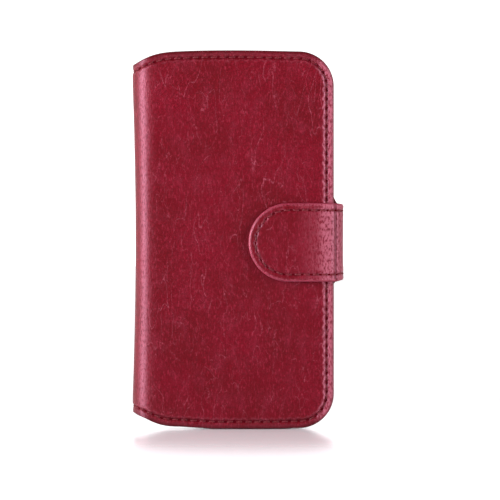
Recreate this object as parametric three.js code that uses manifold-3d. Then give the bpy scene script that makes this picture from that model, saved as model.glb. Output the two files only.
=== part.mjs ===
// Phone wallet case: a leather folio with a snap-in phone shell and a magnetic strap.
// Everything is drawn in millimetres in a standing frame, x to the right, y up and z towards
// the front, with the case closed. The outer group turns that frame to +Z up, front facing -Y, and
// brings the middle of the whole thickness, strap included, to y = 0.

import * as THREE from 'three';
import { mergeVertices } from 'three/addons/utils/BufferGeometryUtils.js';
import Module from 'manifold-3d';

const wasm = await Module();
wasm.setup();

// ---------------------------------------------------------------- driving dimensions

const HEIGHT = 145;            // bottom edge to top edge of the covers
const COVER_RIGHT = 36.5;      // free edge of both covers
const SPINE_LEFT = -40.4;      // outermost line of the spine
const HALF_THICK = 8.7;        // middle plane to either outer face
const SPINE_RADIUS = 7.8;      // rounding from a cover into the spine
const CORNER_RADIUS = 14;      // free corners of the covers
const SLOPE_START = -22;       // where the top and bottom edges start to fall to the spine
const SLOPE_CONTROL = -28.4;
const SPINE_DROP = 6;          // how far the spine's ends lie inside the covers' ends

const LEATHER = 0.9;
const LAYER_GAP = 0.1;         // between sheets that lie on each other
const FRONT_FOAM = 0.8;
const REAR_FOAM = 0.5;
const BOARD = 1.0;
const LINING = 0.5;
const PANEL = 0.4;             // cash pocket and card slot panels
const FOLD_GAP = 0.3;          // between the two sides of a fold line
const HEM = 4;                 // turned edge of leather round the boards

const STITCH_INSET = 2.7;      // edge to the middle of a stitch line
const THREAD_WIDTH = 0.6;
const THREAD_TOP = 0.05;       // depth of the thread's top and bottom under the leather's face
const THREAD_BOTTOM = 0.35;
const CHANNEL_WIDTH = 0.9;
const CHANNEL_DEPTH = 0.45;

const STRAP_MIDDLE = 71.4;     // height of the strap's centre line
const STRAP_HALF = 15;         // half of the strap's width, and the radius of its round end
const STRAP_END_X = 19.25;     // centre of the round end
const STRAP_OUT = 40.4;        // outer face of the strap beside the case
const STRAP_FRONT = 11.4;      // outer face of the strap in front of the case
const STRAP_RADIUS = 3.6;      // outer radius of both strap bends
const STRAP_FILLET = 3.5;      // where the strap grows out of the rear cover
const STRAP_FILLER = 0.9;
const MAGNET_RADIUS = 7;
const MAGNET_X = 19.25;
const MAGNET_HEIGHT = 0.8;

const SHELL_LEFT = -35.6;
const SHELL_RIGHT = 34.4;
const SHELL_BOTTOM = 2;
const SHELL_TOP = 143;
const SHELL_WALL = 1.2;
const SHELL_CORNER = 11;
const SHELL_ROUNDING = 1.2;
const PHONE_DEPTH = 7;
const LIP_HEIGHT = 0.8;
const LIP_REACH = 0.6;

const WINDOW_LEFT = 9;         // camera window, a slot with round ends
const WINDOW_RIGHT = 31;
const WINDOW_MIDDLE = 127;
const WINDOW_RADIUS = 6;

const POCKET_INSET = 5;        // cash pocket, inside the front cover
const POCKET_LEFT = -29;
const SLOT_BOTTOM = 25;        // card slot panels, each one stepped from the last
const SLOT_TOP = 120;
const SLOT_LEFT = -24;
const SLOT_STEP = 10;
const SLOT_COUNT = 3;
const THUMB_RADIUS = 11;       // thumb notch in each panel's mouth
const THUMB_DEPTH = 4;

// ---------------------------------------------------------------- worked-out places

const FOLD_X = SPINE_LEFT + SPINE_RADIUS;             // where the covers meet the spine's rounding
const ARC_Z = HALF_THICK - SPINE_RADIUS;              // centres of the two roundings
const STRAP_ARC_X = STRAP_OUT - STRAP_RADIUS;
const STRAP_REAR_Z = -HALF_THICK + STRAP_RADIUS;
const STRAP_FRONT_Z = STRAP_FRONT - STRAP_RADIUS;
const FAR = 60;                                       // well outside the case, for cutting tools

const frontFoamZ = HALF_THICK - LEATHER - LAYER_GAP;
const frontBoardZ = frontFoamZ - FRONT_FOAM - LAYER_GAP;
const frontHemZ = frontBoardZ - BOARD;
const frontLiningZ = frontHemZ - LAYER_GAP;
const pocketZ = frontLiningZ - LINING - LAYER_GAP;
const rearFoamZ = -HALF_THICK + LEATHER + LAYER_GAP;
const rearBoardZ = rearFoamZ + REAR_FOAM + LAYER_GAP;
const rearHemZ = rearBoardZ + BOARD;
const rearLiningZ = rearHemZ + LAYER_GAP;
const shellZ = rearLiningZ + LINING + LAYER_GAP;
const shellFloorZ = shellZ + SHELL_WALL;
const shellRimZ = shellFloorZ + PHONE_DEPTH;
const tabFillerZ = STRAP_FRONT - LEATHER - LAYER_GAP;
const tabHemZ = tabFillerZ - STRAP_FILLER;
const tabLiningZ = tabHemZ - LAYER_GAP;
const TAB_HEM_X = STRAP_ARC_X - 1.3;                  // where the tab's thick part starts

// ---------------------------------------------------------------- materials

const material = (color, roughness, metalness = 0) =>
  new THREE.MeshStandardMaterial({ color, roughness, metalness });

const leather = material(0x861d2c, 0.45);
const lining = material(0x7a1a28, 0.8);
const foam = material(0xd9d4c8, 0.95);
const board = material(0x8a7a62, 0.9);
const thread = material(0x6a1020, 0.7);
const plastic = material(0x1c1a1b, 0.35);
const steel = material(0x9a9c9e, 0.35, 1);
const magnet = material(0xb4b6b8, 0.3, 1);

// ---------------------------------------------------------------- solids

// A closed three.js geometry as a manifold-3d solid, and back.
function solid(geometry) {
  const bare = geometry.clone();
  bare.deleteAttribute('normal');
  bare.deleteAttribute('uv');
  const merged = mergeVertices(bare, 1e-4);
  return new wasm.Manifold(new wasm.Mesh({
    numProp: 3,
    vertProperties: new Float32Array(merged.attributes.position.array),
    triVerts: new Uint32Array(merged.index.array),
  }));
}

function geometryOf(body) {
  const mesh = body.getMesh();
  const geometry = new THREE.BufferGeometry();
  geometry.setAttribute('position', new THREE.BufferAttribute(new Float32Array(mesh.vertProperties), 3));
  geometry.setIndex(new THREE.BufferAttribute(new Uint32Array(mesh.triVerts), 1));
  geometry.computeVertexNormals();
  return geometry;
}

// A flat sheet between two z levels, cut to an outline in x and y.
function sheet(outline, z0, z1) {
  const low = Math.min(z0, z1);
  const geometry = new THREE.ExtrudeGeometry(new THREE.Shape(outline), {
    depth: Math.abs(z1 - z0),
    bevelEnabled: false,
  });
  return solid(geometry.translate(0, 0, low));
}

// A strip of constant section, its section drawn in x and z, between two heights.
function strip(section, y0, y1) {
  const geometry = new THREE.ExtrudeGeometry(new THREE.Shape(section), {
    depth: y1 - y0,
    bevelEnabled: false,
  });
  return solid(geometry.rotateX(Math.PI / 2).translate(0, y1, 0));
}

const box = (x0, x1, y0, y1, z0, z1) =>
  solid(new THREE.BoxGeometry(x1 - x0, y1 - y0, z1 - z0)
    .translate((x0 + x1) / 2, (y0 + y1) / 2, (z0 + z1) / 2));

// ---------------------------------------------------------------- outlines

const point = (x, y) => new THREE.Vector2(x, y);
const degrees = (angle) => THREE.MathUtils.degToRad(angle);

function arc(x, y, radius, from, to, count = 14) {
  return Array.from({ length: count + 1 }, (_, i) => {
    const angle = degrees(from + ((to - from) * i) / count);
    return point(x + radius * Math.cos(angle), y + radius * Math.sin(angle));
  });
}

// The closed case seen from the front: round free corners, ends that fall to the spine.
function caseOutline(inset = 0) {
  const slope = SPINE_DROP / (SPINE_LEFT - SLOPE_CONTROL);
  const slopeInset = inset * Math.hypot(1, slope);
  const tail = point(SPINE_LEFT - 6, SPINE_DROP - 6 * slope + slopeInset);
  const fall = new THREE.QuadraticBezierCurve(
    point(SPINE_LEFT, SPINE_DROP + slopeInset),
    point(SLOPE_CONTROL, inset),
    point(SLOPE_START, inset),
  ).getPoints(8);
  const bottom = [tail, ...fall];
  const cornerX = COVER_RIGHT - CORNER_RADIUS;
  const radius = CORNER_RADIUS - inset;
  const top = bottom.map((p) => point(p.x, HEIGHT - p.y)).reverse();
  return [
    ...bottom,
    ...arc(cornerX, CORNER_RADIUS, radius, -90, 0),
    ...arc(cornerX, HEIGHT - CORNER_RADIUS, radius, 0, 90),
    ...top,
  ];
}

// The strap laid out flat over the front, running on to the right past the case.
function strapOutline(inset = 0) {
  const reach = STRAP_HALF - inset;
  return [
    ...arc(STRAP_END_X, STRAP_MIDDLE, reach, 90, 270, 32),
    point(STRAP_OUT + 6, STRAP_MIDDLE - reach),
    point(STRAP_OUT + 6, STRAP_MIDDLE + reach),
  ];
}

function strapRootOutline() {
  const edge = STRAP_HALF + STRAP_FILLET;
  const centreX = COVER_RIGHT + STRAP_FILLET;
  return [
    point(COVER_RIGHT - HEM, STRAP_MIDDLE - edge),
    ...arc(centreX, STRAP_MIDDLE - edge, STRAP_FILLET, 180, 90, 5),
    point(STRAP_OUT + 6, STRAP_MIDDLE - STRAP_HALF),
    point(STRAP_OUT + 6, STRAP_MIDDLE + STRAP_HALF),
    ...arc(centreX, STRAP_MIDDLE + edge, STRAP_FILLET, -90, -180, 5),
    point(COVER_RIGHT - HEM, STRAP_MIDDLE + edge),
  ];
}

function windowOutline(grow = 0) {
  const radius = WINDOW_RADIUS + grow;
  return [
    ...arc(WINDOW_RIGHT - WINDOW_RADIUS, WINDOW_MIDDLE, radius, -90, 90),
    ...arc(WINDOW_LEFT + WINDOW_RADIUS, WINDOW_MIDDLE, radius, 90, 270),
  ];
}

function roundedOutline(left, right, bottom, top, radius) {
  return [
    ...arc(right - radius, bottom + radius, radius, -90, 0, 10),
    ...arc(right - radius, top - radius, radius, 0, 90, 10),
    ...arc(left + radius, top - radius, radius, 90, 180, 10),
    ...arc(left + radius, bottom + radius, radius, 180, 270, 10),
  ];
}

// ---------------------------------------------------------------- sections in x and z

// A layer between two depths under the outer face of the covers. side is 1 at the front
// and -1 at the rear. It runs from a cover's free edge to the fold line in the rounding.
function coverSection(side, depth0, depth1, right = COVER_RIGHT) {
  const gap = THREE.MathUtils.radToDeg(FOLD_GAP / 2 / SPINE_RADIUS);
  const rounding = (depth) =>
    arc(FOLD_X, ARC_Z, SPINE_RADIUS - depth, 90, 135 - gap, 8).map((p) => point(p.x, side * p.y));
  return [
    point(right, side * (HALF_THICK - depth0)),
    ...rounding(depth0),
    ...rounding(depth1).reverse(),
    point(right, side * (HALF_THICK - depth1)),
  ];
}

// The same layer on the spine, between its two fold lines.
function spineSection(depth0, depth1) {
  const gap = THREE.MathUtils.radToDeg(FOLD_GAP / 2 / SPINE_RADIUS);
  const back = (depth) => [
    ...arc(FOLD_X, ARC_Z, SPINE_RADIUS - depth, 135 + gap, 180, 8),
    ...arc(FOLD_X, -ARC_Z, SPINE_RADIUS - depth, 180, 225 - gap, 8),
  ];
  return [...back(depth0), ...back(depth1).reverse()];
}

// The strap's layers: its root on the rear cover, its side and its front tab.
function strapSection(part, depth0, depth1, tabEnd = STRAP_END_X - STRAP_HALF - 2) {
  const gap = THREE.MathUtils.radToDeg(FOLD_GAP / 2 / STRAP_RADIUS);
  const rear = (depth, from, to) => arc(STRAP_ARC_X, STRAP_REAR_Z, STRAP_RADIUS - depth, from, to, 6);
  const front = (depth, from, to) => arc(STRAP_ARC_X, STRAP_FRONT_Z, STRAP_RADIUS - depth, from, to, 6);
  const line = {
    root: (depth) => [
      point(COVER_RIGHT - HEM / 2, -HALF_THICK + depth),
      ...rear(depth, -90, -45 - gap),
    ],
    side: (depth) => [...rear(depth, -45 + gap, 0), ...front(depth, 0, 45 - gap)],
    tab: (depth) => [...front(depth, 45 + gap, 90), point(tabEnd, STRAP_FRONT - depth)],
  }[part];
  return [...line(depth0), ...line(depth1).reverse()];
}

// ---------------------------------------------------------------- shared cutting tools

const casePrism = sheet(caseOutline(), -FAR, FAR);
const strapPrism = sheet(strapOutline(), -FAR, FAR);

function ring(outline, width) {
  const outer = sheet(outline(STITCH_INSET - width / 2), -FAR, FAR);
  const inner = sheet(outline(STITCH_INSET + width / 2), -FAR, FAR);
  return outer.subtract(inner);
}

const caseThreadPath = ring(caseOutline, THREAD_WIDTH);
const caseChannelPath = ring(caseOutline, CHANNEL_WIDTH);
const strapThreadPath = ring(strapOutline, THREAD_WIDTH);
const strapChannelPath = ring(strapOutline, CHANNEL_WIDTH);
const windowPrism = sheet(windowOutline(), -FAR, FAR);

// A stitch line lies in a shallow channel, so thread and channel share one layer rule.
const threadIn = (section, path) =>
  strip(section(THREAD_TOP, THREAD_BOTTOM), 0, HEIGHT).intersect(path);
const channelIn = (section, path) =>
  strip(section(-1, CHANNEL_DEPTH), 0, HEIGHT).intersect(path);

const frontLayer = (depth0, depth1) => coverSection(1, depth0, depth1, COVER_RIGHT + 1);
const rearLayer = (depth0, depth1) => coverSection(-1, depth0, depth1, COVER_RIGHT + 1);
const sideLayer = (depth0, depth1) => strapSection('side', depth0, depth1);
const tabLayer = (depth0, depth1) => strapSection('tab', depth0, depth1);

// The flat part of a cover inside its hem, for whatever lies in the leather's tray.
function insideHem(inset, z0, z1) {
  const left = box(FOLD_X + inset, FAR, -FAR, HEIGHT + FAR, -FAR, FAR);
  return sheet(caseOutline(inset), z0, z1).intersect(left);
}

// ---------------------------------------------------------------- leather

// A cover's leather is a tray: its face, the hem turned in round the board, and the first
// half of the rounding into the spine.
function coverLeather(side, hemZ, pocket) {
  const tray = insideHem(0, side * HALF_THICK, hemZ).subtract(pocket);
  const layer = side > 0 ? frontLayer : rearLayer;
  const rounding = strip(coverSection(side, 0, LEATHER, FOLD_X + 1), 0, HEIGHT).intersect(casePrism);
  return tray.add(rounding).subtract(channelIn(layer, caseChannelPath));
}

const frontPocket = insideHem(HEM, HALF_THICK - LEATHER, frontHemZ - 1);
const rearPocket = insideHem(HEM, -HALF_THICK + LEATHER, rearHemZ + 1)
  .subtract(sheet(windowOutline(2.5), -FAR, FAR));
const strapRoot = strip(strapSection('root', 0, LEATHER), 0, HEIGHT)
  .intersect(sheet(strapRootOutline(), -FAR, FAR));

const frontLeather = coverLeather(1, frontHemZ, frontPocket);
const rearLeather = coverLeather(-1, rearHemZ, rearPocket)
  .add(strapRoot.subtract(channelIn(rearLayer, caseChannelPath)))
  .subtract(windowPrism);
const spineLeather = strip(spineSection(0, LEATHER), 0, HEIGHT)
  .intersect(casePrism)
  .subtract(channelIn(spineSection, caseChannelPath));

// ---------------------------------------------------------------- padding, boards and linings

const fitGap = 0.3;
const frontFoam = insideHem(HEM + fitGap, frontFoamZ, frontFoamZ - FRONT_FOAM);
const keeperHole = (grow, z0, z1) =>
  sheet(arc(MAGNET_X, STRAP_MIDDLE, MAGNET_RADIUS + grow, 0, 350, 35), z0, z1);
const frontBoard = insideHem(HEM + fitGap, frontBoardZ, frontHemZ)
  .subtract(keeperHole(fitGap, frontBoardZ + 1, frontHemZ - 1));
const keeper = keeperHole(0, frontBoardZ, frontBoardZ - MAGNET_HEIGHT);

const windowFrame = sheet(windowOutline(2.5 + fitGap), -FAR, FAR);
const rearFoam = insideHem(HEM + fitGap, rearFoamZ, rearFoamZ + REAR_FOAM).subtract(windowFrame);
const rearBoard = insideHem(HEM + fitGap, rearBoardZ, rearHemZ).subtract(windowFrame);

// A cover's lining is flat over the hem, steps down beside it and follows the rounding.
function coverLining(side, z) {
  const outside = sheet(caseOutline(1), -FAR, FAR);
  const stepX = FOLD_X - LAYER_GAP;
  const underLeather = LEATHER + LAYER_GAP;
  const flat = box(stepX - LINING, FAR, 0, HEIGHT, Math.min(z, z - side * LINING),
    Math.max(z, z - side * LINING));
  const stepEnds = [z - side * LINING, side * (HALF_THICK - underLeather - LINING / 2)];
  const step = box(stepX - LINING, stepX, 0, HEIGHT, Math.min(...stepEnds), Math.max(...stepEnds));
  const bend = strip(coverSection(side, underLeather, underLeather + LINING, FOLD_X + 1), 0, HEIGHT)
    .intersect(box(-FAR, stepX, 0, HEIGHT, -FAR, FAR));
  return flat.add(step).add(bend).intersect(outside);
}

const frontLining = coverLining(1, frontLiningZ);
const rearLining = coverLining(-1, rearLiningZ).subtract(windowPrism);
const spineLining = strip(spineSection(LEATHER + LAYER_GAP, LEATHER + LAYER_GAP + LINING), 0, HEIGHT)
  .intersect(sheet(caseOutline(1), -FAR, FAR));

// ---------------------------------------------------------------- card slots and cash pocket

const pocketPanel = sheet(caseOutline(POCKET_INSET), pocketZ, pocketZ - PANEL)
  .intersect(box(POCKET_LEFT, FAR, 0, HEIGHT, -FAR, FAR));

function cardSlot(index) {
  const left = SLOT_LEFT + index * SLOT_STEP;
  const z = pocketZ - (index + 1) * (PANEL + LAYER_GAP);
  const right = COVER_RIGHT - POCKET_INSET;
  const panel = box(left, right, SLOT_BOTTOM, SLOT_TOP, z - PANEL, z);
  const thumbX = left - THUMB_RADIUS + THUMB_DEPTH;
  const thumb = arc(thumbX, (SLOT_BOTTOM + SLOT_TOP) / 2, THUMB_RADIUS, 0, 350, 35);
  return panel.subtract(sheet(thumb, z - 2 * PANEL, z + PANEL));
}

// ---------------------------------------------------------------- phone shell

const shellOutline = (inset) => roundedOutline(SHELL_LEFT + inset, SHELL_RIGHT - inset,
  SHELL_BOTTOM + inset, SHELL_TOP - inset, SHELL_CORNER - inset);

function phoneShell() {
  const rounded = new THREE.ExtrudeGeometry(new THREE.Shape(shellOutline(SHELL_ROUNDING)), {
    depth: PHONE_DEPTH + SHELL_WALL,
    bevelThickness: SHELL_ROUNDING,
    bevelSize: SHELL_ROUNDING,
    bevelSegments: 3,
  }).translate(0, 0, shellZ + SHELL_ROUNDING);
  const cuts = [
    box(-FAR, FAR, -FAR, HEIGHT + FAR, shellRimZ, FAR),
    sheet(shellOutline(SHELL_WALL), shellFloorZ, shellRimZ - LIP_HEIGHT),
    sheet(shellOutline(SHELL_WALL + LIP_REACH), shellFloorZ, FAR),
    windowPrism,
    box(SHELL_RIGHT - 3, FAR, 107, 121, -2, FAR),         // side key
    box(-FAR, SHELL_LEFT + 3, 92, 121, -2, FAR),          // volume keys and mute switch
    box(-20.6, 19.4, -FAR, SHELL_BOTTOM + 3, -2.6, FAR),  // charging port, speaker and audio jack
  ];
  return cuts.reduce((body, cut) => body.subtract(cut), solid(rounded));
}

// ---------------------------------------------------------------- strap

const strapLiningDepth = LEATHER + LAYER_GAP;
const strapLayer = (part, depth0, depth1) =>
  strip(strapSection(part, depth0, depth1, TAB_HEM_X), 0, HEIGHT).intersect(strapPrism);

const strapRootLining = strapLayer('root', strapLiningDepth, strapLiningDepth + LINING)
  .intersect(box(COVER_RIGHT + fitGap, FAR, 0, HEIGHT, -FAR, FAR));
const strapSideLeather = strapLayer('side', 0, LEATHER)
  .subtract(channelIn(sideLayer, strapChannelPath));
const strapSideLining = strapLayer('side', strapLiningDepth, strapLiningDepth + LINING);

const beforeTabHem = box(-FAR, TAB_HEM_X, 0, HEIGHT, -FAR, FAR);
const tabPocket = sheet(strapOutline(HEM), STRAP_FRONT - LEATHER, tabHemZ - 1)
  .intersect(box(-FAR, TAB_HEM_X - HEM / 2, 0, HEIGHT, -FAR, FAR));
const tabLeather = sheet(strapOutline(), STRAP_FRONT, tabHemZ)
  .intersect(beforeTabHem)
  .subtract(tabPocket)
  .add(strapLayer('tab', 0, LEATHER))
  .subtract(channelIn(tabLayer, strapChannelPath));

const tabFiller = sheet(strapOutline(HEM + fitGap), tabFillerZ, tabHemZ)
  .intersect(box(-FAR, TAB_HEM_X - HEM / 2 - fitGap, 0, HEIGHT, -FAR, FAR))
  .subtract(keeperHole(fitGap, tabFillerZ + 1, tabHemZ - 1));
const tabMagnet = keeperHole(0, tabFillerZ, tabFillerZ - MAGNET_HEIGHT);

const stepX = TAB_HEM_X + LAYER_GAP;
const tabLiningStep = box(stepX, stepX + LINING, 0, HEIGHT,
  tabLiningZ - LINING, STRAP_FRONT - strapLiningDepth - LINING / 2);
const tabLiningBend = strip(
  strapSection('tab', strapLiningDepth, strapLiningDepth + LINING, stepX), 0, HEIGHT);
const tabLining = sheet(strapOutline(), tabLiningZ, tabLiningZ - LINING)
  .intersect(box(-FAR, stepX + LINING, 0, HEIGHT, -FAR, FAR))
  .add(tabLiningStep.add(tabLiningBend).intersect(strapPrism));

// The strap's stitching runs along both edges of its side as two separate lines.
const sideThread = (from, to) =>
  threadIn(sideLayer, strapThreadPath).intersect(box(0, FAR, from, to, -FAR, FAR));

// ---------------------------------------------------------------- scene graph

const walletCase = new THREE.Group();
walletCase.name = 'phone_wallet_case';
walletCase.rotation.x = Math.PI / 2;
walletCase.position.y = (STRAP_FRONT - HALF_THICK) / 2;

function assembly(name, pieces) {
  const group = new THREE.Group();
  group.name = name;
  for (const [pieceName, body, look] of pieces) {
    const mesh = new THREE.Mesh(geometryOf(body), look);
    mesh.name = pieceName;
    group.add(mesh);
  }
  walletCase.add(group);
}

assembly('rear_cover_parts', [
  ['rear_leather', rearLeather, leather],
  ['rear_foam', rearFoam, foam],
  ['rear_board', rearBoard, board],
  ['rear_lining', rearLining, lining],
  ['rear_stitching', threadIn(rearLayer, caseThreadPath), thread],
  ['phone_shell', phoneShell(), plastic],
  ['strap_root_lining', strapRootLining, lining],
]);

assembly('spine_parts', [
  ['spine_leather', spineLeather, leather],
  ['spine_lining', spineLining, lining],
  ['spine_stitching_top', threadIn(spineSection, caseThreadPath)
    .intersect(box(-FAR, 0, HEIGHT / 2, HEIGHT, -FAR, FAR)), thread],
  ['spine_stitching_bottom', threadIn(spineSection, caseThreadPath)
    .intersect(box(-FAR, 0, 0, HEIGHT / 2, -FAR, FAR)), thread],
]);

assembly('front_cover_parts', [
  ['front_leather', frontLeather, leather],
  ['front_foam', frontFoam, foam],
  ['front_board', frontBoard, board],
  ['front_keeper_disc', keeper, steel],
  ['front_lining', frontLining, lining],
  ['front_stitching', threadIn(frontLayer, caseThreadPath), thread],
  ['cash_pocket_panel', pocketPanel, lining],
  ...Array.from({ length: SLOT_COUNT }, (_, i) =>
    [`card_slot_panel_${i + 1}`, cardSlot(i), lining]),
]);

assembly('strap_side_parts', [
  ['strap_side_leather', strapSideLeather, leather],
  ['strap_side_lining', strapSideLining, lining],
  ['strap_side_stitching_top', sideThread(STRAP_MIDDLE, HEIGHT), thread],
  ['strap_side_stitching_bottom', sideThread(0, STRAP_MIDDLE), thread],
]);

assembly('strap_tab_parts', [
  ['tab_leather', tabLeather, leather],
  ['tab_filler', tabFiller, foam],
  ['tab_magnet', tabMagnet, magnet],
  ['tab_lining', tabLining, lining],
  ['tab_stitching', threadIn(tabLayer, strapThreadPath), thread],
]);

export default walletCase;
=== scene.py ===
"""Phone wallet case: the looks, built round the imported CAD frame."""

import math

import bmesh
import bpy
import numpy as np
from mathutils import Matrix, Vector


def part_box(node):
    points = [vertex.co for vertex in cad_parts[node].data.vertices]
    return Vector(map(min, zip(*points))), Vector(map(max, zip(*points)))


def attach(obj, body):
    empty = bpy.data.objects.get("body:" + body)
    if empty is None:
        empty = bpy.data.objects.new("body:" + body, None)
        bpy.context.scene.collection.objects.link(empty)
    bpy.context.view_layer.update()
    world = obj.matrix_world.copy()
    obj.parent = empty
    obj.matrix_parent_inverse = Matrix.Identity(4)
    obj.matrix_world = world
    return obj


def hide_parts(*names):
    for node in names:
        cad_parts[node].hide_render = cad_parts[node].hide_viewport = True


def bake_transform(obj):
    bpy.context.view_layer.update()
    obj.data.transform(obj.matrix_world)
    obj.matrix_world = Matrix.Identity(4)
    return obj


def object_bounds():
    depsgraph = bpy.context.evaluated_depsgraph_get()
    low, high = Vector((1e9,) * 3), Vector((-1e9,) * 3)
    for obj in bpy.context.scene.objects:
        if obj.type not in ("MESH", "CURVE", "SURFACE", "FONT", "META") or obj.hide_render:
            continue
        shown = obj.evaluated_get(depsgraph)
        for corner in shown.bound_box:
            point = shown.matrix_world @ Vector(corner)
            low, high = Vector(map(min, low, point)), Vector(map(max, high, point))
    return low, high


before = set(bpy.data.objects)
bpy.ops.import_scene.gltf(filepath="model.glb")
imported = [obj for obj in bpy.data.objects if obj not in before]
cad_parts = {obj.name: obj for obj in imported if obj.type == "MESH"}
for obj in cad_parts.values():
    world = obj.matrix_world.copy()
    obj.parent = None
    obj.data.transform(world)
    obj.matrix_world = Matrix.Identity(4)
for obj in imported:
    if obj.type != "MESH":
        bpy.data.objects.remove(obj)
cad_bounds = [list(corner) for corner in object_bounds()]
MM = 0.001


def box_mm(node):
    """A node's lowest and highest corner in millimetres."""
    low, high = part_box(node)
    return np.array(low) / MM, np.array(high) / MM


# ---- sizes, in mm

LEATHER_FRONT = box_mm("front_leather")[0][1]
LEATHER_REAR = box_mm("rear_leather")[1][1]
HEIGHT = box_mm("front_leather")[1][2]
SPINE_LEFT = cad_bounds[0][0] / MM
# The leather bulges a little past the CAD's flat sides.
STRAP_OUT = cad_bounds[1][0] / MM + 0.5
COVER_RIGHT = box_mm("front_leather")[1][0] + 0.4
MIDDLE_Y = (LEATHER_FRONT + LEATHER_REAR) / 2
FACE = (LEATHER_REAR - LEATHER_FRONT) / 2
FRONT_WALL = box_mm("front_board")[1][1] - LEATHER_FRONT
REAR_WALL = LEATHER_REAR - box_mm("rear_board")[0][1]
FRONT_LINING = box_mm("cash_pocket_panel")[0][1] - 0.1 - LEATHER_FRONT
REAR_LINING = LEATHER_REAR - box_mm("phone_shell")[1][1] - 0.1
STRAP_FACE = MIDDLE_Y - box_mm("tab_leather")[0][1]
STRAP_TIP = box_mm("tab_leather")[0][0]
STRAP_LOW = box_mm("tab_leather")[0][2]
STRAP_HIGH = box_mm("tab_leather")[1][2]

SPINE_RADIUS = 7.8
SPINE_FLAT = FACE - SPINE_RADIUS
SPINE_PINCH = 1.35             # how far the middle of the spine is drawn in
CORNER_RADIUS = 13.4
ROUNDING = SPINE_RADIUS * math.pi / 2
TANGENT_X = SPINE_LEFT + SPINE_RADIUS
U_TANGENT = SPINE_FLAT + ROUNDING
U_END = U_TANGENT + COVER_RIGHT - TANGENT_X
SPINE_WALL = 1.5               # thickness of the spine's leather

# How far the covers' end edges fall from their outermost line, by place along the front.
TOP_DROP = ([-41.5, -40.4, -38.0, -35.5, -32.6, -29.9, -26.2, -21.0, -3.0, 10.0, 18.0, 22.5, 37.0],
            [5.9, 5.4, 4.2, 3.0, 1.95, 1.2, 0.64, 0.34, 0.0, 0.12, 0.3, 0.4, 0.4])
BOTTOM_DROP = ([-41.5, -40.4, -39.4, -36.0, -33.2, -30.3, -26.8, -21.5, -15.7, -8.0, 12.0, 18.0, 22.5, 37.0],
               [6.9, 6.2, 5.6, 4.2, 2.95, 1.85, 1.1, 0.82, 0.42, 0.0, 0.0, 0.12, 0.25, 0.25])

WINDOW_LEFT, WINDOW_RIGHT, WINDOW_MIDDLE, WINDOW_RADIUS = 9.0, 31.0, 127.0, 6.0

STITCH_INSET = 2.7
STITCH_PITCH = 3.5
STITCH_LENGTH = 2.5
THREAD_RADIUS = 0.27

rng = np.random.default_rng(7)


# ---- node helpers

def linear(c):
    c /= 255
    return c / 12.92 if c <= 0.04045 else ((c + 0.055) / 1.055) ** 2.4


def srgb(r, g, b):
    """An 8-bit display colour as a linear RGBA tuple."""
    return (linear(r), linear(g), linear(b), 1.0)


LIT = 2.55                     # light falling on the front, against a white surface showing 1
GLOSS = 0.0105                 # what the finish adds by reflection where nothing bright is mirrored


def pigment(r, g, b):
    """The base colour that shows as this 8-bit colour on the front of the case."""
    return tuple(max(linear(c) - GLOSS, 0.001) / LIT for c in (r, g, b)) + (1.0,)


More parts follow.
